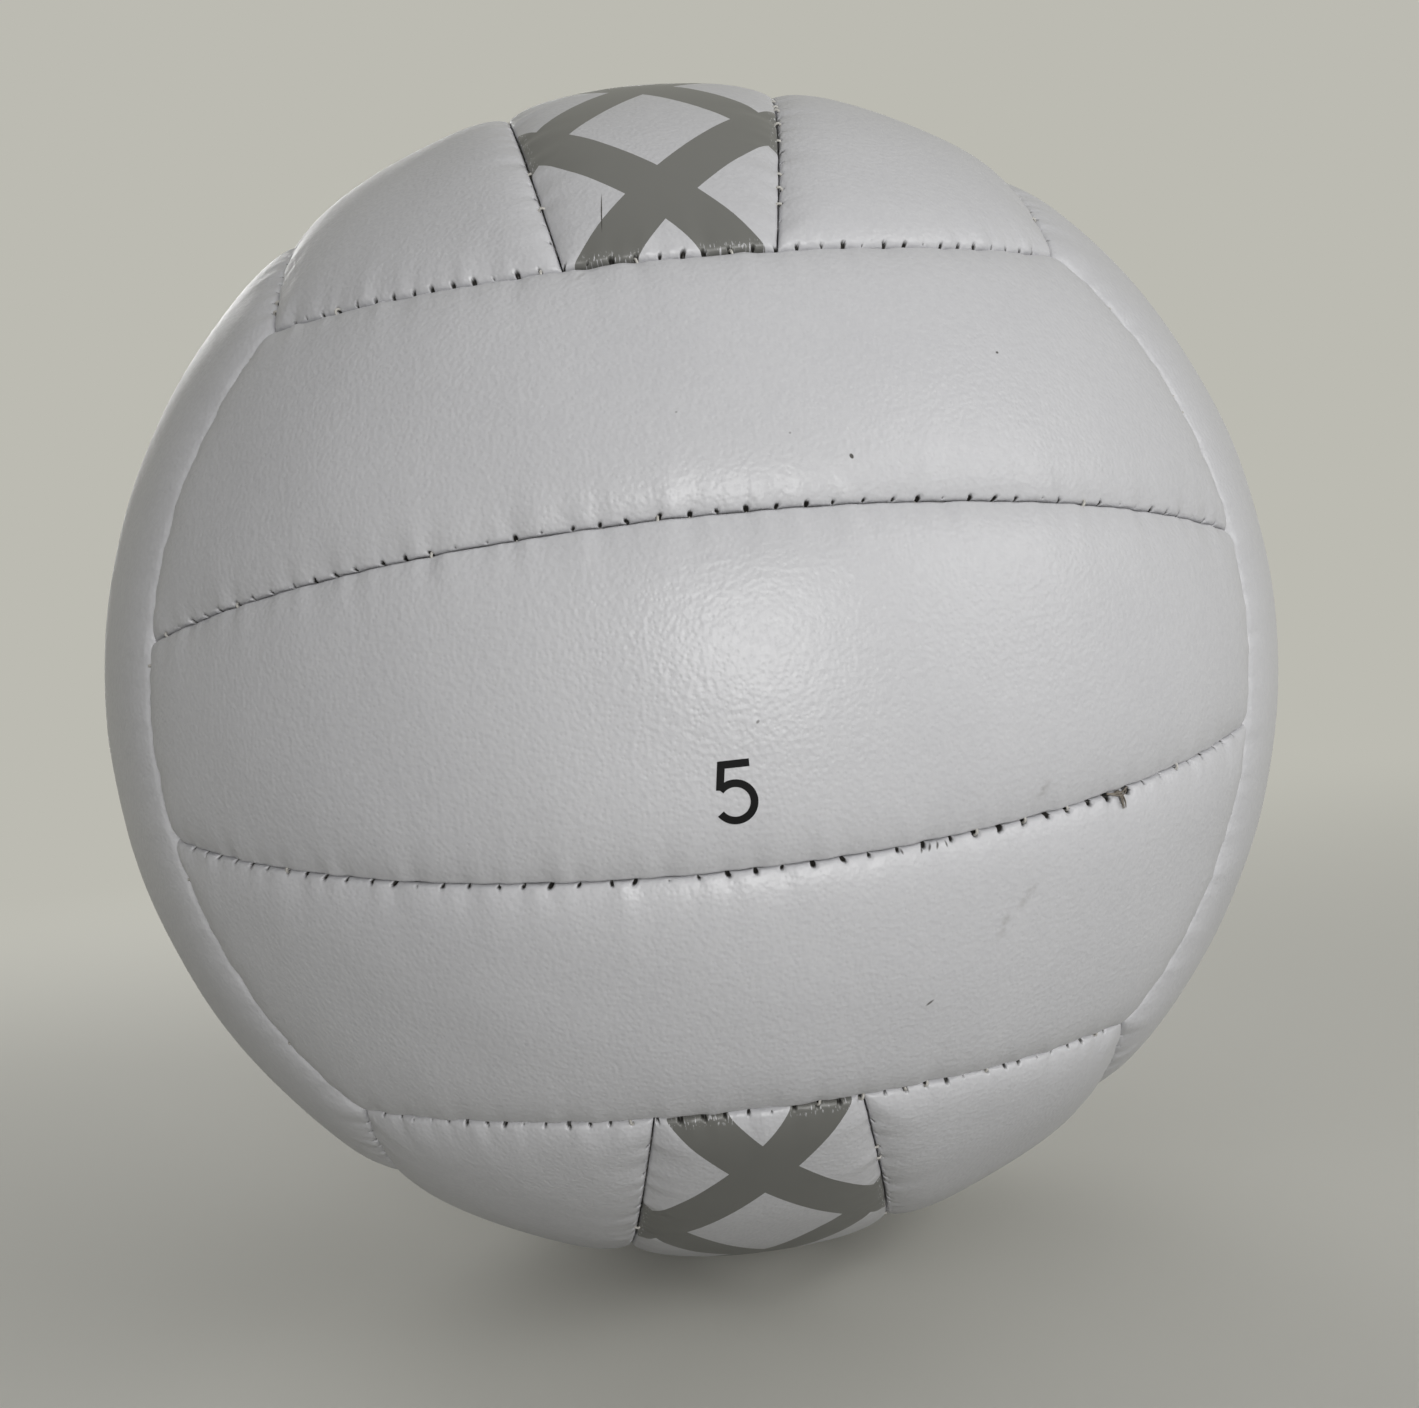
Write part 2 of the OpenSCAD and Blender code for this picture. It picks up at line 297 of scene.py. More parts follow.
def inward(strip, along, across, distance):
    """Moves shares of the way along and across a strip so that its edges lie a distance further in."""
    end, side = distance / strip_length(strip, across), distance / strip_width(strip, along)
    return end + (1 - 2 * end) * along, side + (1 - 2 * side) * across


def band(lower, upper, count, ratio=1):
    """Faces between two closed rows of points that start at those numbers. The upper row has a point
    for every ratio points of the lower one, and each face takes ratio steps of the lower row and one of
    the upper."""
    step = np.arange(count // ratio)
    low = lower + (step[:, None] * ratio + np.arange(ratio + 1)) % count
    high = upper + np.stack([(step + 1) % (count // ratio), step], 1)
    return np.concatenate([low, high], 1)


def sheet_faces(first, cells_along, cells_across):
    """Square faces of a grid of points that starts at that number."""
    column, row = np.meshgrid(np.arange(cells_along), np.arange(cells_across))
    corner = (first + row * (cells_along + 1) + column).ravel()
    return np.stack([corner, corner + 1, corner + cells_along + 2, corner + cells_along + 1], 1)


def grid_rim(first, cells_along, cells_across):
    """Numbers of the points round a grid, counter-clockwise from its first corner."""
    along, across = rim_shares(cells_along, cells_across)
    column = np.rint(along * cells_along).astype(int)
    row = np.rint(across * cells_across).astype(int)
    return first + row * (cells_along + 1) + column


def mesh_object(name, points, face_lists, smooth=True):
    """A mesh object in metres at the origin, from points in millimetres and arrays of faces."""
    mesh = bpy.data.meshes.new(name)
    corners = [face for part in face_lists for face in part.tolist()]
    mesh.from_pydata((points / 1000).tolist(), [], corners)
    mesh.polygons.foreach_set("use_smooth", np.full(len(mesh.polygons), smooth))
    mesh.update()
    made = bpy.data.objects.new(name, mesh)
    bpy.context.scene.collection.objects.link(made)
    return made


fine_along, fine_across, ratio = 720, 264, 6
coarse_along, coarse_across = fine_along // ratio, fine_across // ratio
outer_rows = [seam_gap / 2, 0.17, 0.25, 0.36, 0.5, 0.68, 0.86, 1.05, 1.3, 1.75, 2.4, 3.4, 4.6]
grid_inset = 6.0
inner_rows = [seam_gap / 2 + leather_t, seam_gap / 2 + leather_t + 0.3, 2.4, 3.6]
valve_hole_r, valve_lip = 4.7, 0.5
valve_outer_rows, valve_inner_rows = (0.45, 0.75, 0.9, 1), (1, 0.5)
valve_block = (10, 12)


def pierce(points, face_lists, outer_grid, inner_grid, cells, half_block):
    """Opens the valve's round hole through the middle of a strip whose first two lists of faces are its
    outer and inner grids. A block of squares is left out of both, rows of points lead from the block's
    rim to a circle and on from the outer circle to the inner one. The outer rim of the hole dips, as
    pressed leather does."""
    cells_along, cells_across = cells
    half_along, half_across = half_block
    first = (cells_across // 2 - half_across) * (cells_along + 1) + cells_along // 2 - half_along
    along, across = rim_shares(2 * half_along, 2 * half_across)
    column = np.rint(along * 2 * half_along).astype(int)
    row = np.rint(across * 2 * half_across).astype(int)
    block = first + row * (cells_along + 1) + column
    count, rows = len(block), []
    sides = (outer_grid, valve_outer_rows, valve_lip), (inner_grid, valve_inner_rows, 0)
    for grid_start, shares, lip in sides:
        edge = points[grid_start + block]
        edge_r = np.linalg.norm(edge, axis=1)
        angle = np.arctan2(edge[:, 2], edge[:, 0])
        circle = np.stack([np.cos(angle), 0 * angle, np.sin(angle)], 1) * valve_hole_r
        circle[:, 1] = np.sqrt(edge_r**2 - valve_hole_r**2)
        for share in shares:
            row = edge * (1 - share) + circle * share
            rows.append(row * ((edge_r - lip * share**8) / np.linalg.norm(row, axis=1))[:, None])
    starts = len(points) + count * np.arange(len(rows))
    opening, closing = band(0, starts[0], count), band(starts[-1], 0, count)
    opening[:, :2] = outer_grid + block[opening[:, :2]]
    closing[:, -2:] = inner_grid + block[closing[:, -2:]]
    column, row = (part.ravel() for part in np.meshgrid(np.arange(cells_along), np.arange(cells_across)))
    kept = abs(column + 0.5 - cells_along / 2) > half_along
    kept |= abs(row + 0.5 - cells_across / 2) > half_across
    rings = [band(low, high, count) for low, high in zip(starts, starts[1:])]
    outer_faces, inner_faces, *others = face_lists
    face_lists = [outer_faces[kept], inner_faces[kept], *others, opening, *rings, closing]
    return np.concatenate([points, *rows]), face_lists


def cover_mesh(face, strip):
    """One cover as a closed shell: rows of points from the foot of its turned-in edge over the roll to
    a coarser crown, the same again a leather's thickness inside, and a band that joins the two at the
    foot."""
    fine_rim = rim_shares(fine_along, fine_across)
    coarse_rim = rim_shares(coarse_along, coarse_across)
    grid = grid_shares(coarse_along, coarse_across)
    fine_count, coarse_count = len(fine_rim[0]), len(coarse_rim[0])
    blocks = [cover_points(face, strip, *inward(strip, *fine_rim, row)) for row in outer_rows]
    foot = blocks[0][0] * (rim_r / np.linalg.norm(blocks[0][0], axis=1))[:, None]
    blocks.insert(0, (foot, 0 * blocks[0][1], *blocks[0][2:]))
    outer_starts = [fine_count * n for n in range(len(blocks))]
    outer_grid = fine_count * len(blocks)
    blocks.append(cover_points(face, strip, *inward(strip, *grid, grid_inset)))
    inner_blocks = [
        cover_points(face, strip, *inward(strip, *coarse_rim, row), inset=leather_t) for row in inner_rows
    ]
    foot = inner_blocks[0][0] * (rim_r / np.linalg.norm(inner_blocks[0][0], axis=1))[:, None]
    inner_blocks.insert(0, (foot, *inner_blocks[0][1:]))
    inner_start = outer_grid + len(grid[0])
    inner_starts = [inner_start + coarse_count * n for n in range(len(inner_blocks))]
    inner_grid = inner_start + coarse_count * len(inner_blocks)
    blocks += inner_blocks
    blocks.append(cover_points(face, strip, *inward(strip, *grid, grid_inset), inset=leather_t))
    points, hole, off_seam, flat = (np.concatenate(part) for part in zip(*blocks))

    outer_faces = sheet_faces(outer_grid, coarse_along, coarse_across)
    inner_faces = sheet_faces(inner_grid, coarse_along, coarse_across)[:, ::-1]
    face_lists = [band(low, high, fine_count) for low, high in zip(outer_starts, outer_starts[1:])]
    rim = grid_rim(0, coarse_along, coarse_across)
    fan = band(outer_starts[-1], 0, fine_count, ratio)
    fan[:, -2:] = outer_grid + rim[fan[:, -2:]]
    under = [band(low, high, coarse_count)[:, ::-1] for low, high in zip(inner_starts, inner_starts[1:])]
    last = band(inner_starts[-1], 0, coarse_count)
    last[:, -2:] = inner_grid + rim[last[:, -2:]]
    foot_faces = band(outer_starts[0], inner_starts[0], fine_count, ratio)[:, ::-1]
    face_lists = [outer_faces, inner_faces, *face_lists, fan, *under, last[:, ::-1], foot_faces]
    if (face, strip) == ("back", 1):
        count = len(points)
        cells = (coarse_along, coarse_across)
        points, face_lists = pierce(points, face_lists, outer_grid, inner_grid, cells, valve_block)
        added = points[count:]
        hole = np.append(hole, np.full(len(added), -1.0))
        off_seam = np.append(off_seam, np.full(len(added), crown_reach))
        flat = np.concatenate([flat, added * (1, 0, 0) + added[:, [0, 2, 1]] * (0, 1, 0)])
    made = mesh_object(f"{face}_{faces[face][1][strip]}_cover", points, face_lists)
    made.data.attributes.new("needle_hole", "FLOAT", "POINT").data.foreach_set("value", hole)
    made.data.attributes.new("off_seam_mm", "FLOAT", "POINT").data.foreach_set("value", off_seam)
    made.data.attributes.new("flat_mm", "FLOAT_VECTOR", "POINT").data.foreach_set("vector", flat.ravel())
    return made


def linear(hex_colour):
    """A colour written in sRGB hex, as the linear red, green, blue and alpha that shaders take."""
    srgb = np.array([int(hex_colour[n : n + 2], 16) for n in (1, 3, 5)]) / 255
    return (*np.where(srgb < 0.04045, srgb / 12.92, ((srgb + 0.055) / 1.055) ** 2.4), 1.0)


def add_node(material, kind, inputs=(), **settings):
    """Adds a shader node with its settings, and feeds its inputs from values or from other nodes' outputs.
    The material may be the world too."""
    made = material.node_tree.nodes.new(f"ShaderNode{kind}")
    for name, value in settings.items():
        setattr(made, name, value)
    for name, value in dict(inputs).items():
        if isinstance(value, bpy.types.NodeSocket):
            material.node_tree.links.new(value, made.inputs[name])
        else:
            made.inputs[name].default_value = value
    return made


def new_material(name, roughness=0.5):
    """A material of that roughness, its principled shader, and the place on the piece that it goes by."""
    material = bpy.data.materials.new(name)
    material.use_nodes = True
    shader = material.node_tree.nodes["Principled BSDF"]
    shader.inputs["Roughness"].default_value = roughness
    return material, shader, add_node(material, "TexCoord").outputs["Object"]


def join(output, socket):
    """Links an output to a socket of a shader."""
    socket.id_data.links.new(output, socket)


def maths(material, operation, *values):
    """The result of one sum on values or outputs."""
    return add_node(material, "Math", enumerate(values), operation=operation).outputs[0]


def tint(material, share, low, high):
    """A colour between two, by a share. Either may be sRGB hex or another node's output."""
    low, high = (linear(colour) if isinstance(colour, str) else colour for colour in (low, high))
    inputs = {"Factor": share, 6: low, 7: high}
    return add_node(material, "Mix", inputs, data_type="RGBA").outputs[2]


def noise(material, place, size, detail=2.0, roughness=0.5):
    """Noise from 0 to 1 in flecks of about that size, in the unit of the place."""
    inputs = {"Vector": place, "Scale": 1 / size, "Detail": detail, "Roughness": roughness}
    return add_node(material, "TexNoise", inputs).outputs["Fac"]


def ramp(material, value, start, end, top=1.0, **settings):
    """0 where a value is at the start or before it, the top at the end or past it, and in step between."""
    inputs = {"Value": value, "From Min": start, "From Max": end, "To Max": top}
    return add_node(material, "MapRange", inputs, **settings).outputs[0]


def dents(material, height, strength, depth):
    """The normal of a surface that the height moves out, by that depth in metres."""
    inputs = {"Height": height, "Strength": strength, "Distance": depth}
    return add_node(material, "Bump", inputs).outputs["Normal"]


def mark_and_shade_cover(material, place, marks, broken):
    """Where the leather is marked, from 0 to 1, by marks of use and by painted pleat shade alike: each
    mark is an ellipsoid round its middle, in mm, with its long way along a direction and its short way out
    of the ball, that fades from its heart to its rim. The broken ones are patchy."""
    covered = 0.0
    for middle, direction, half_length, half_width, strength, heart in marks:
        outward = Vector(middle).normalized()
        beside = outward.cross(Vector(direction)).normalized()
        turned = Matrix((beside.cross(outward), beside, outward)).transposed().to_euler()
        sizes = np.array((half_length, half_width, mark_deep)) / 1000
        inputs = {"Vector": place, "Location": np.array(middle) / 1000, "Rotation": turned, "Scale": sizes}
        local = add_node(material, "Mapping", inputs, vector_type="TEXTURE").outputs[0]
        reach = add_node(material, "VectorMath", {0: local}, operation="LENGTH").outputs["Value"]
        covered = maths(material, "MAXIMUM", covered, ramp(material, reach, 1.0, heart, strength))
    if broken:
        patches = noise(material, place, broken_size, detail=4.0)
        covered = maths(material, "MULTIPLY", covered, ramp(material, patches, *broken_edges))
    return covered


def synthetic_leather(name, base, shade, printed, dark_marks_and_pleat_shade, smears):
    """Moulded polyurethane leather: satin white film with a fine pebbled wrinkle, a little uneven in
    tone, and dark in the needle holes with dirt and painted shade, with a few specks and smears from use
    and painted shade of a few small pleats. The printed panels carry a trellis of plain crossing ink
    bands, which is crazed with fine pale cracks where it bends into a seam."""
    material, shader, place = new_material(name)
    inputs = {"Vector": place, "Scale": 1 / pebble_size, "Randomness": 1.0}
    pebble = add_node(material, "TexVoronoi", inputs, feature="SMOOTH_F1").outputs["Distance"]
    wrinkle = noise(material, place, wrinkle_size, detail=4.0, roughness=0.6)
    tone = noise(material, place, tone_size, detail=7.0, roughness=0.62)
    mottle = maths(material, "MULTIPLY_ADD", wrinkle, mottle_share, tone)
    colour = tint(material, maths(material, "SUBTRACT", mottle, mottle_share / 2), base, shade)
    grain = maths(material, "MULTIPLY_ADD", wrinkle, gloss_scatter, -gloss_scatter / 2)
    strength = grain_strength
    if printed:
        flat = add_node(material, "Attribute", attribute_name="flat_mm").outputs["Vector"]
        split = add_node(material, "SeparateXYZ", {"Vector": flat})
        flat_x, flat_y = split.outputs["X"], split.outputs["Y"]
        masks = []
        for lean in (trellis_lean, -trellis_lean):
            across = maths(material, "MULTIPLY", flat_x, np.sin(lean))
            across = maths(material, "MULTIPLY_ADD", flat_y, np.cos(lean), across)
            off = maths(material, "PINGPONG", across, trellis_pitch / 2)
            masks.append(maths(material, "LESS_THAN", off, trellis_band / 2))
        ink = maths(material, "MAXIMUM", *masks)
        off_seam = add_node(material, "Attribute", attribute_name="off_seam_mm").outputs["Fac"]
        bent = ramp(material, off_seam, *bend_reach)
        inputs = {0: flat, 1: crack_flecks}
        stretched = add_node(material, "VectorMath", inputs, operation="MULTIPLY").outputs[0]
        cracked = ramp(material, noise(material, stretched, 1.0), *crack_edges)
        kept = maths(material, "SUBTRACT", 1.0, maths(material, "MULTIPLY", bent, cracked))
        ink = maths(material, "MULTIPLY", ink, kept)
        colour = tint(material, ink, colour, ink_grey)
        bare = maths(material, "SUBTRACT", 1.0, ink)
        grain = maths(material, "MULTIPLY", grain, bare)
        strength = maths(material, "MULTIPLY", bare, grain_strength)
    # Smears, specks and the painted shade of small pleats are laid over the colour
    for marks, mark_colour, broken in ((smears, smear_grey, True), (dark_marks_and_pleat_shade, mark_and_pleat_shade_dark, False)):
        if marks:
            colour = tint(material, mark_and_shade_cover(material, place, marks, broken), colour, mark_colour)
    depth = add_node(material, "Attribute", attribute_name="needle_hole").outputs["Fac"]
    # Painted shade and dirt darken the needle holes, the deeper parts of a hole the more
    colour = tint(material, ramp(material, depth, *hole_edges), colour, hole_dirt_and_shade)
    height = maths(material, "MULTIPLY_ADD", wrinkle, wrinkle_share, pebble)
    join(colour, shader.inputs["Base Color"])
    join(maths(material, "ADD", grain, leather_roughness), shader.inputs["Roughness"])
    join(dents(material, height, strength, grain_depth), shader.inputs["Normal"])
    shader.inputs["IOR"].default_value = 1.5
    return material


# The real grain is about 0.4 mm across, drawn at 0.65 mm so that it shows
pebble_size, wrinkle_size, wrinkle_share = 0.00065, 0.0012, 0.6
grain_depth, grain_strength = 0.00012, 0.65
leather_roughness, gloss_scatter = 0.38, 0.12
leather_white, leather_shade = "#d8d8da", "#c8c8cb"
mottle_share, tone_size = 0.8, 0.045
# Needle holes: the colour of their dirt and painted shade, and the depths over which it comes in
hole_dirt_and_shade, hole_edges = "#24221f", (-0.05, 0.3)
# The print: its bands in mm, and its cracks as flecks per mm along and across, within reach of a seam
trellis_lean = np.radians(38)
trellis_pitch, trellis_band = 27.0, 8.0
ink_grey = "#72726e"
bend_reach, crack_flecks, crack_edges = (1.7, 0.9), (1.1, 3.6, 0.0), (0.6, 0.67)
# The dark of specks and scratches, which also paints the shade of small pleats, and the grey of smears
mark_and_pleat_shade_dark, smear_grey = "#3d3a36", "#8d8a85"
mark_deep = 2.2
broken_size, broken_edges = 0.0016, (0.4, 0.62)
# Marks of use, and the painted shade of small pleats by a seam, as (middle in mm, long way, half length,
# half width, strength, share of the reach at full strength)
dark_marks_and_pleat_shade = [
    ((20.0, -99.0, 28.8), (0.4, 0, -1), 0.44, 0.32, 1.0, 0.65),
    ((43.2, -86.0, 42.0), (1, 0, 0.5), 0.3, 0.24, 0.95, 0.5),
    ((12.3, -99.1, 32.5), (1, 0, 0), 0.22, 0.2, 0.5, 0.4),
    ((3.9, -104.9, -3.8), (1, 0, 1), 0.36, 0.24, 0.7, 0.4),
    ((24.2, -91.6, -45.2), (1, 0, 0.7), 0.85, 0.24, 0.85, 0.4),
    ((-2.0, -98.2, 36.6), (1, 0, 0.3), 0.22, 0.18, 0.45, 0.4),
    # The last five, slanted ticks on the seam under the front middle panel, are painted shade of small
    # pleats in the leather there
    ((21.6, -99.2, -23.4), (0.3, 0, -1), 0.45, 0.2, 0.85, 0.4),
    ((24.2, -98.3, -23.3), (-0.4, 0, -1), 0.6, 0.22, 0.9, 0.4),
    ((25.3, -98.0, -23.2), (-0.5, 0, -1), 0.65, 0.22, 0.9, 0.4),
    ((26.4, -97.8, -23.1), (-0.45, 0, -1), 0.6, 0.22, 0.9, 0.4),
    ((27.7, -97.4, -23.1), (0.2, 0, -1), 0.5, 0.2, 0.85, 0.4),
]
smears = [
    ((35.6, -92.1, -35.7), (0.6, 0, 1), 2.7, 1.4, 0.5, 0.1),
    ((38.9, -92.1, -32.2), (0.8, 0, 1), 2.6, 1.1, 0.45, 0.1),
    ((41.9, -94.6, -17.6), (1, 0, 0.8), 2.2, 1.6, 0.45, 0.1),
    ((-12.6, -86.4, 58.2), (0.5, 0, 1), 1.8, 0.5, 0.6, 0.2),
]
scratches = [((-8.7, -79.8, 67.6), (-0.05, -0.47, -0.54), 4.6, 0.11, 1.0, 0.7)]
white_leather = synthetic_leather(
    "polyurethane_leather_white", leather_white, leather_shade, False, dark_marks_and_pleat_shade, smears
)
printed_leather = synthetic_leather(
    "polyurethane_leather_printed", leather_white, leather_shade, True, scratches, []
)

for face, (_, strips) in faces.items():
    for strip, strip_name in enumerate(strips):
        cover = cover_mesh(face, strip)
        printed = face in ("top", "bottom") and strip == 1
        cover.data.materials.append(printed_leather if printed else white_leather)
        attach(cover, "ball")
        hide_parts(f"{face}_{strip_name}_panel")


# Foam backings
# Three millimetres of soft foam with a woven back, glued behind each cover and wrapped by its turned-in
# edges. It is what makes the panels crown. Nothing of it shows on the finished ball.
foam_inset = 1.4
patch_r, patch_recess = 16.2, 0.8


def foam_mesh(face, strip):
    """One backing as a closed pad: a grid under the leather, a grid on the bladder's radius and the
    wall between them. The pad with the valve is hollowed for the patch and pierced for the valve's
    nose."""
    shares = inward(strip, *grid_shares(foam_along, foam_across), seam_gap / 2 + foam_inset)
    top = cover_points(face, strip, *shares, inset=foam_inset)[0]
    foot = top * (rim_r / np.linalg.norm(top, axis=1))[:, None]
    valved = (face, strip) == ("back", 1)
    if valved:
        over_patch = np.hypot(top[:, 0], top[:, 2]) < patch_r
        foot[over_patch] *= (rim_r + patch_recess) / rim_r
    rim_low = grid_rim(len(top), foam_along, foam_across)
    rim_high = grid_rim(0, foam_along, foam_across)
    wall = np.stack([rim_low, np.roll(rim_low, -1), np.roll(rim_high, -1), rim_high], 1)
    points = np.concatenate([top, foot])
    face_lists = [
        sheet_faces(0, foam_along, foam_across),
        sheet_faces(len(top), foam_along, foam_across)[:, ::-1],
        wall,
    ]
    if valved:
        cells = (foam_along, foam_across)
        points, face_lists = pierce(points, face_lists, 0, len(top), cells, foam_block)
    return mesh_object(f"{face}_{faces[face][1][strip]}_foam", points, face_lists)


foam_along, foam_across, foam_block = 60, 24, (6, 5)
# Closed-cell foam: cream, matt and finely pitted
foam_cell = 0.0009
foam, foam_shader, place = new_material("polyethylene_foam_cream", roughness=0.9)
cells = add_node(foam, "TexVoronoi", {"Vector": place, "Scale": 1 / foam_cell}).outputs["Distance"]
join(tint(foam, cells, "#cfc4a4", "#e6dfc8"), foam_shader.inputs["Base Color"])
join(dents(foam, cells, strength=0.5, depth=0.0002), foam_shader.inputs["Normal"])
for face, (_, strips) in faces.items():
    for strip, strip_name in enumerate(strips):
        pad = foam_mesh(face, strip)
        pad.data.materials.append(foam)
        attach(pad, "ball")
        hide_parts(f"{face}_{strip_name}_backing")


# Stitching
# Waxed polyester thread, sewn by hand through the turned-in edges. A run lies deep in each seam, and a
# short stitch crosses it at every pair of holes. Most are pulled out of sight, and a few ride up and
# catch the light.
thread_r, run_r = 0.2, 0.12
run_depth, stitch_depth, stitch_bow = 3.85, 3.25, 0.3
stitch_half, stitch_lean = 0.8, 0.35
# The share of stitches that ride up, how far in mm, and how much of it their two ends stay behind
raised_share, raised_lift, raised_bow = 0.14, (1.3, 1.75), 0.5
stitch_seed = 500
stitch_stations, stitch_sides = 8, 6
run_stations, run_sides, run_beyond = 160, 5, 1.0


def seam_frames(face, seam_side, along_seam):
    """Points on a seam of a face, in mm from its middle, with the unit vectors along it, out of the
    ball and across it. A strip seam is the edge of the middle strip, and an end seam a quarter of the
    edge's circle."""

    def place(along_seam):
        if seam_side in ("south", "north"):
            across = np.full(len(along_seam), 0.0 if seam_side == "south" else 1.0)
            return strip_point(1, 0.5 + along_seam / strip_length(1, across), across)
        turn = along_seam / edge_circle_r
        x = edge_circle_r * np.cos(turn) * (-1 if seam_side == "west" else 1)
        return np.stack([x, np.full(len(turn), -edge_plane), edge_circle_r * np.sin(turn)], 1)

    axes = np.array(faces[face][0])
    middle = place(along_seam) @ axes
    along = (place(along_seam + 0.01) - place(along_seam - 0.01)) @ axes
    along /= np.linalg.norm(along, axis=1)[:, None]
    outward = middle / ball_r
    return middle, along, outward, np.cross(along, outward)


def tube_faces(first, stations, sides):
    """Faces of tubes with that many stations and sides, one tube for each starting number, closed at both
    ends."""
    station, side = np.meshgrid(np.arange(stations - 1), np.arange(sides))
    corner, beside = station * sides + side, station * sides + (side + 1) % sides
    wall = np.stack([corner, beside, beside + sides, corner + sides], -1).reshape(-1, 4)
    ends = np.stack([np.arange(sides)[::-1], (stations - 1) * sides + np.arange(sides)])
    first = np.asarray(first)[:, None, None]
    return [(first + wall).reshape(-1, 4), (first + ends).reshape(-1, sides)]


def tube_points(line, radius, sides, up):
    """Points of round tubes along lines of stations: a circle in the plane square to the line at each
    station, whose first point leans to the side that is up."""
    along = np.gradient(line, axis=-2)
    along /= np.linalg.norm(along, axis=-1, keepdims=True)
    side = np.cross(along, up)
    side /= np.linalg.norm(side, axis=-1, keepdims=True)
    rise = np.cross(side, along)
    turn = np.arange(sides) * 2 * np.pi / sides
    ring = np.cos(turn)[:, None] * rise[..., None, :] + np.sin(turn)[:, None] * side[..., None, :]
    return line[..., None, :] + np.asarray(radius)[..., None, None] * ring


def seam_thread(face, seam_side):
    """The thread of one seam: stitches that arch across it between their holes, by a parabola, and the run
    beneath them."""
    seam, turned, pitch = seam_of(face, 1, seam_side)
    places = turned * stitch_places(seam, pitch)
    count = len(places)
    draws = np.random.default_rng(seam + stitch_seed)
    middle, along, outward, across = (part[:, None] for part in seam_frames(face, seam_side, places))
    span = np.linspace(-1, 1, stitch_stations)[None, :, None]
    raised = draws.random(count) < raised_share
    lift = np.where(raised, draws.uniform(*raised_lift, count), 0)[:, None, None]
    lean = draws.uniform(-stitch_lean, stitch_lean, count)[:, None, None]
    depth = stitch_depth - lift + (stitch_bow + raised_bow * lift) * span**2
    line = middle + stitch_half * span * across + lean * span * along - depth * outward
    stitches = tube_points(line, np.full(line.shape[:2], thread_r), stitch_sides, outward)
    starts = np.arange(count) * stitch_stations * stitch_sides
    reach = abs(places).max() + run_beyond
    run_places = np.linspace(-reach, reach, run_stations)
    run_middle, _, run_out, _ = seam_frames(face, seam_side, run_places)
    run = tube_points(run_middle - run_depth * run_out, np.full(run_stations, run_r), run_sides, run_out)
    run_faces = tube_faces([0], run_stations, run_sides)
    points = [stitches.reshape(-1, 3), run.reshape(-1, 3)]
    return points, [tube_faces(starts, stitch_stations, stitch_sides), run_faces]


def thread_object(name, face, seam_sides):
    """The thread of some of a face's seams as one mesh."""
    points, face_lists, count = [], [], 0
    for seam_side in seam_sides:
        for part_points, part_faces in zip(*seam_thread(face, seam_side)):
            points.append(part_points)
            face_lists += [faces_of + count for faces_of in part_faces]
            count += len(part_points)
    return mesh_object(name, np.concatenate(points), face_lists)


def mottled(name, size, base, shade, roughness):
    """A material whose colour wanders between two by noise of that size in metres, its shader and the
    noise."""
    material, shader, place = new_material(name, roughness)
    flecks = noise(material, place, size)
    join(tint(material, flecks, base, shade), shader.inputs["Base Color"])
    return material, shader, flecks


# Waxed thread: off-white, with its plies about 0.4 mm apart
ply_size = 0.0004
thread, thread_shader, plies = mottled("waxed_polyester_thread", ply_size, "#a9a69e", "#dedcd6", 0.55)
join(dents(thread, plies, strength=0.4, depth=0.00005), thread_shader.inputs["Normal"])
for face in faces:
    for kind, seam_sides in (("strip", ("south", "north")), ("end", ("west", "east"))):
        sewing = thread_object(f"{face}_{kind}_sewing", face, seam_sides)
        sewing.data.materials.append(thread)
        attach(sewing, "ball")
        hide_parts(f"{face}_{kind}_stitching")


# Size numeral
# The ball's size class, a plain 5 about 8 mm high. It is screen printed in matt black ink on the front
# middle panel, in strokes of one width, and follows the leather.
numeral_middle = (0.1, -12.3)
stroke_w, ink_t = 1.0, 0.03
bowl_r, bowl_low, bowl_ends = 2.42, 1.4, (138, -146)


def ink_stroke(line):
    """A stroke of ink as a thin ribbon on the leather: the line moved to each side by half the stroke's
    width, and out and in by the ink's thickness. The line is in mm to the right and up from the
    numeral's middle."""
    along = np.gradient(line, axis=0)
    along /= np.linalg.norm(along, axis=1)[:, None]
    side = np.stack([along[:, 1], -along[:, 0]], 1) * stroke_w / 2
    corners = line[:, None] + side[:, None] * np.array([1, 1, -1, -1])[:, None] + numeral_middle
    x, z = corners[..., 0], corners[..., 1]
    place = np.stack([x, -np.sqrt(ball_r**2 - x**2 - z**2), z], -1).reshape(-1, 3)
    off_seam = place[:, 1:] @ seam_planes[1, :2] - seam_planes[1, 2]
    height = np.tile([ink_t, -ink_t, -ink_t, ink_t], len(line)) - rolled(off_seam, strip_roll_r)
    return place * ((ball_r - crown_ease + waves(place) + height) / ball_r)[:, None]


# The flag, the stem and the bowl
bowl = np.radians(np.linspace(*bowl_ends, 48))
strokes = [
    np.linspace((-1.75, 3.5), (2.2, 3.5), 10),
    np.linspace((-1.35, 3.9), (-1.85, 0.25), 12),
    np.stack([bowl_r * np.cos(bowl), bowl_r * np.sin(bowl) - bowl_low], 1),
]
stroke_faces, count = [], 0
for line in strokes:
    stroke_faces += tube_faces([count], len(line), 4)
    count += 4 * len(line)
stroke_points = np.concatenate([ink_stroke(line) for line in strokes])
numeral = mesh_object("size_numeral", stroke_points, stroke_faces, smooth=False)
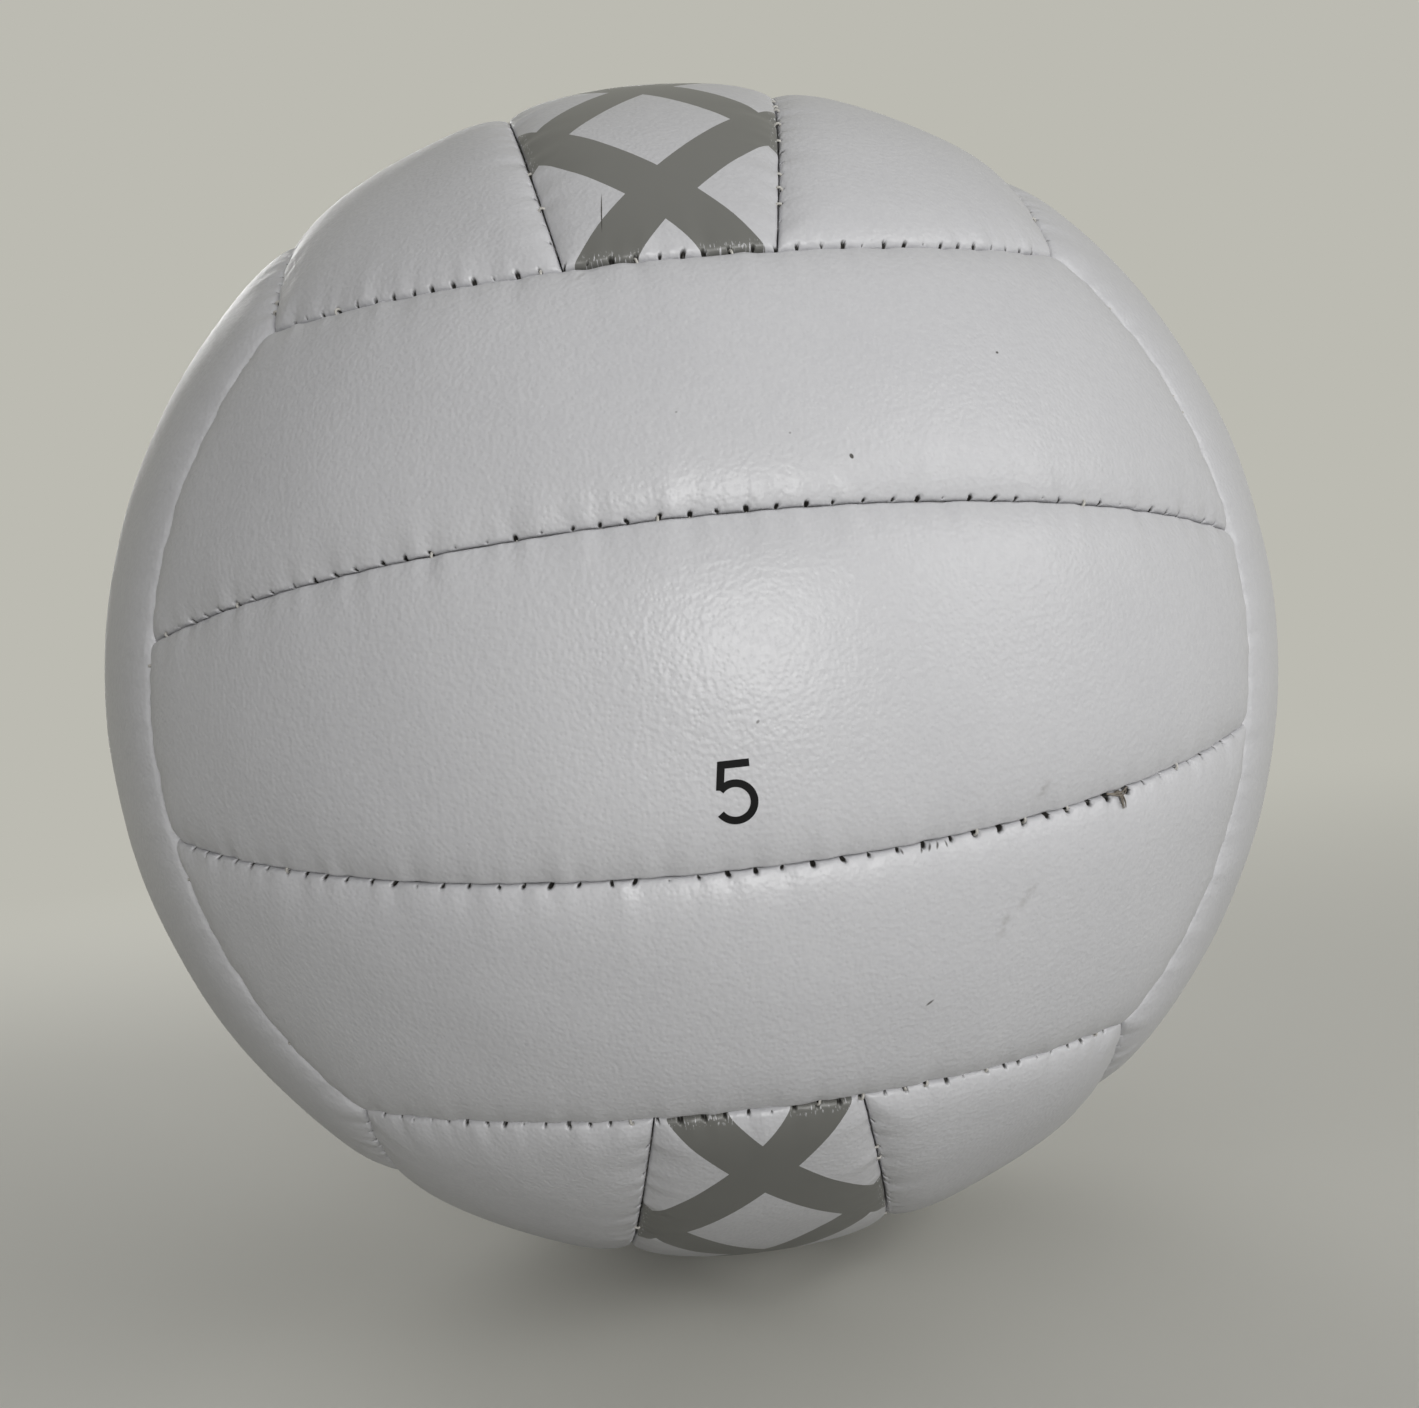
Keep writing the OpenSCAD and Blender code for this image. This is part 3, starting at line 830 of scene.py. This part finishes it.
# Screen ink: black, matt, and a little uneven in its film
film_size = 0.0008
black_ink, ink_shader, _ = mottled("screen_printed_black_ink", film_size, "#050506", "#0c0c0d", 0.65)
ink_shader.inputs["Specular IOR Level"].default_value = 0.2
numeral.data.materials.append(black_ink)
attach(numeral, "ball")


# Frayed stitch
# One stitch of the seam under the front middle panel has worn through. It lies loose between its two
# holes, and a tuft of its broken filaments hangs over the panel below.
fray_seed = 41
filaments, filament_r = 14, 0.07
fray_clear, fray_taper = 0.05, 0.3
fray_stations, fray_sides = 12, 5
# Ranges in mm for the filaments: where they start and how far they run along the seam, how high they
# arch and how far they hang
tuft_start, tuft_run, tuft_arch, tuft_fall = (-0.2, 0.75), (-0.35, 0.3), (0.05, 0.35), (1.4, 2.4)
# The same for the two plies of the loose stitch, from its left hole and beside its length, and their radii
ply_start, ply_run, ply_arch, ply_fall = (0.0, 0.2), (0.0, -0.4), (0.5, 0.3), (0.15, 0.45)
ply_r = (0.18, 0.14)


def fray_lines():
    """Lines of the worn thread: the loose stitch from hole to hole, and the filaments of the tuft. Each
    goes along the seam, across it, and out from the leather beneath it by a low arch."""
    share = np.linspace(0, 1, fray_stations)[None, :, None]
    places = stitch_places(*seam_of("front", 1, "south")[::2]) - fray_place
    left, right = places[places < 0].max(), places[places > 0].min()
    draws = np.random.default_rng(fray_seed)
    start = np.append(left + np.array(ply_start), draws.uniform(*tuft_start, filaments))
    run = np.append(right - left + np.array(ply_run), draws.uniform(*tuft_run, filaments))
    arch = np.append(ply_arch, draws.uniform(*tuft_arch, filaments))
    fall = np.append(ply_fall, draws.uniform(*tuft_fall, filaments))
    start, run, arch, fall = (part[:, None, None] for part in (start, run, arch, fall))
    middle, along, outward, across = seam_frames("front", "south", np.array([fray_place]))
    loose = np.arange(len(start))[:, None, None] < len(ply_r)
    down = np.where(loose, fall * np.sin(np.pi * share), fall * share)
    leather = rolled(np.maximum(down, seam_gap / 2), strip_roll_r)
    out = arch * np.sin(np.pi * share) - leather + fray_clear
    lines = middle + (start + run * share) * along + out * outward + down * across
    radius = np.append(ply_r, np.full(filaments, filament_r))[:, None] * (1 - fray_taper * share[..., 0])
    return tube_points(lines, radius, fray_sides, outward[:, None])


fray_points = fray_lines()
fray_starts = np.arange(len(fray_points)) * fray_stations * fray_sides
fray_faces = tube_faces(fray_starts, fray_stations, fray_sides)
fray = mesh_object("frayed_stitch", fray_points.reshape(-1, 3), fray_faces)
# Thread that has lost its wax: soiled, brownish and matt
soil_size = 0.0009
worn_thread, _, _ = mottled("soiled_polyester_thread", soil_size, "#5e574f", "#a29a8e", 0.8)
fray.data.materials.append(worn_thread)
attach(fray, "ball")


# Bladder and valve
# The bladder is blown butyl rubber. The valve housing is moulded rubber bonded under it, the core is a
# softer rubber plug pushed into the housing, and the patch is rubbered cotton. They keep their packed
# shapes.
rubber_blotch, rubber_tooth, rubber_scatter = 0.004, 0.0005, 0.15


def moulded_rubber(name, base, shade, roughness):
    """Moulded rubber: matt, with the faint mottle and fine tooth of its mould."""
    material, shader, place = new_material(name)
    mottle = noise(material, place, rubber_blotch, detail=4.0)
    tooth = noise(material, place, rubber_tooth)
    join(tint(material, mottle, base, shade), shader.inputs["Base Color"])
    join(maths(material, "MULTIPLY_ADD", mottle, rubber_scatter, roughness), shader.inputs["Roughness"])
    join(dents(material, tooth, strength=0.35, depth=0.00005), shader.inputs["Normal"])
    return material


# Rubbered cotton: tan and matt, with a diagonal weave
weave_size, weave_waver = 0.0012, 0.6
cloth, cloth_shader, place = new_material("rubbered_cotton_patch", roughness=0.85)
inputs = {"Vector": place, "Scale": 1 / weave_size, "Distortion": weave_waver}
weave = add_node(cloth, "TexWave", inputs, bands_direction="DIAGONAL").outputs["Fac"]
join(tint(cloth, weave, "#9c8f6f", "#b9ad8c"), cloth_shader.inputs["Base Color"])
valve_finishes = {
    "bladder": moulded_rubber("butyl_rubber_bladder", "#2c2b2a", "#363534", 0.5),
    "valve_housing": moulded_rubber("moulded_rubber_housing", "#232323", "#2f2e2d", 0.5),
    "valve_core": moulded_rubber("soft_rubber_core", "#8a8883", "#979590", 0.55),
    "valve_patch": cloth,
}
for part, finish in valve_finishes.items():
    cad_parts[part].data.materials.clear()
    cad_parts[part].data.materials.append(finish)


# Floor, light and air
# A plain pale floor that fades into an even pale surround, with four broad soft lamps: one behind the
# camera, one to the right, one overhead and one behind the ball, which lights its back and the floor
# there.
pale, floor_pale, floor_dull = "#bcbbb2", "#e4e3da", "#8c8b84"
floor_reach = 6000.0
# The floor turns into the surround between these distances from the ball's middle, in metres
fade_start, fade_end = 0.12, 0.75
air_strength = 0.13


def seen_plainly(owner):
    """1 where a ray comes from the camera, or from a glossy or a clear surface, and 0 where it only
    lights."""
    paths = add_node(owner, "LightPath").outputs
    mirrored = maths(owner, "MAXIMUM", paths["Is Glossy Ray"], paths["Is Transmission Ray"])
    return maths(owner, "MAXIMUM", paths["Is Camera Ray"], mirrored)


floor_corners = np.array([(-1, -1, 0), (1, -1, 0), (1, 1, 0), (-1, 1, 0)])
floor_points = floor_corners * floor_reach - (0, 0, ball_r)
floor = mesh_object("floor", floor_points, [np.array([(0, 1, 2, 3)])], smooth=False)
# Matt floor paint, paler to the camera than to the light, that turns into the surround away from the ball
floor_paint, floor_shader, place = new_material("floor_matt_paint", roughness=0.9)
away = add_node(floor_paint, "VectorMath", {0: place}, operation="LENGTH").outputs["Value"]
fade = ramp(floor_paint, away, fade_start, fade_end, interpolation_type="SMOOTHSTEP")
seen_floor = seen_plainly(floor_paint)
join(tint(floor_paint, seen_floor, floor_dull, floor_pale), floor_shader.inputs["Base Color"])
glow = add_node(floor_paint, "Emission", {"Color": linear(pale)}).outputs[0]
inputs = {0: maths(floor_paint, "MULTIPLY", fade, seen_floor), 1: floor_shader.outputs[0], 2: glow}
surface = add_node(floor_paint, "MixShader", inputs).outputs[0]
join(surface, floor_paint.node_tree.nodes["Material Output"].inputs["Surface"])
floor.data.materials.append(floor_paint)

world = bpy.data.worlds.new("studio_air")
world.use_nodes = True
bpy.context.scene.world = world
air_light = world.node_tree.nodes["Background"]
air_light.inputs["Strength"].default_value = air_strength
air_light.inputs["Color"].default_value = linear("#ffffff")
seen_air = add_node(world, "Background", {"Color": linear(pale)}).outputs[0]
inputs = {0: seen_plainly(world), 1: air_light.outputs[0], 2: seen_air}
either = add_node(world, "MixShader", inputs).outputs[0]
join(either, world.node_tree.nodes["World Output"].inputs["Surface"])


def soft_lamp(name, place, size, watts):
    """A square area lamp that faces the ball's middle."""
    lamp = bpy.data.lights.new(name, "AREA")
    lamp.size = size
    lamp.energy = watts
    made = bpy.data.objects.new(name, lamp)
    made.location = place
    made.rotation_euler = (-Vector(place)).to_track_quat("-Z", "Y").to_euler()
    bpy.context.scene.collection.objects.link(made)


soft_lamp("key_lamp", (0.16, -1.15, 0.12), size=0.4, watts=5.7)
soft_lamp("side_lamp", (0.95, -0.7, 0.4), size=0.7, watts=4.3)
soft_lamp("top_lamp", (0.15, -0.1, 1.2), size=1.0, watts=0.8)
soft_lamp("back_lamp", (-0.25, 1.2, 0.28), size=0.7, watts=7.0)

bpy.context.scene.view_settings.view_transform = "Standard"
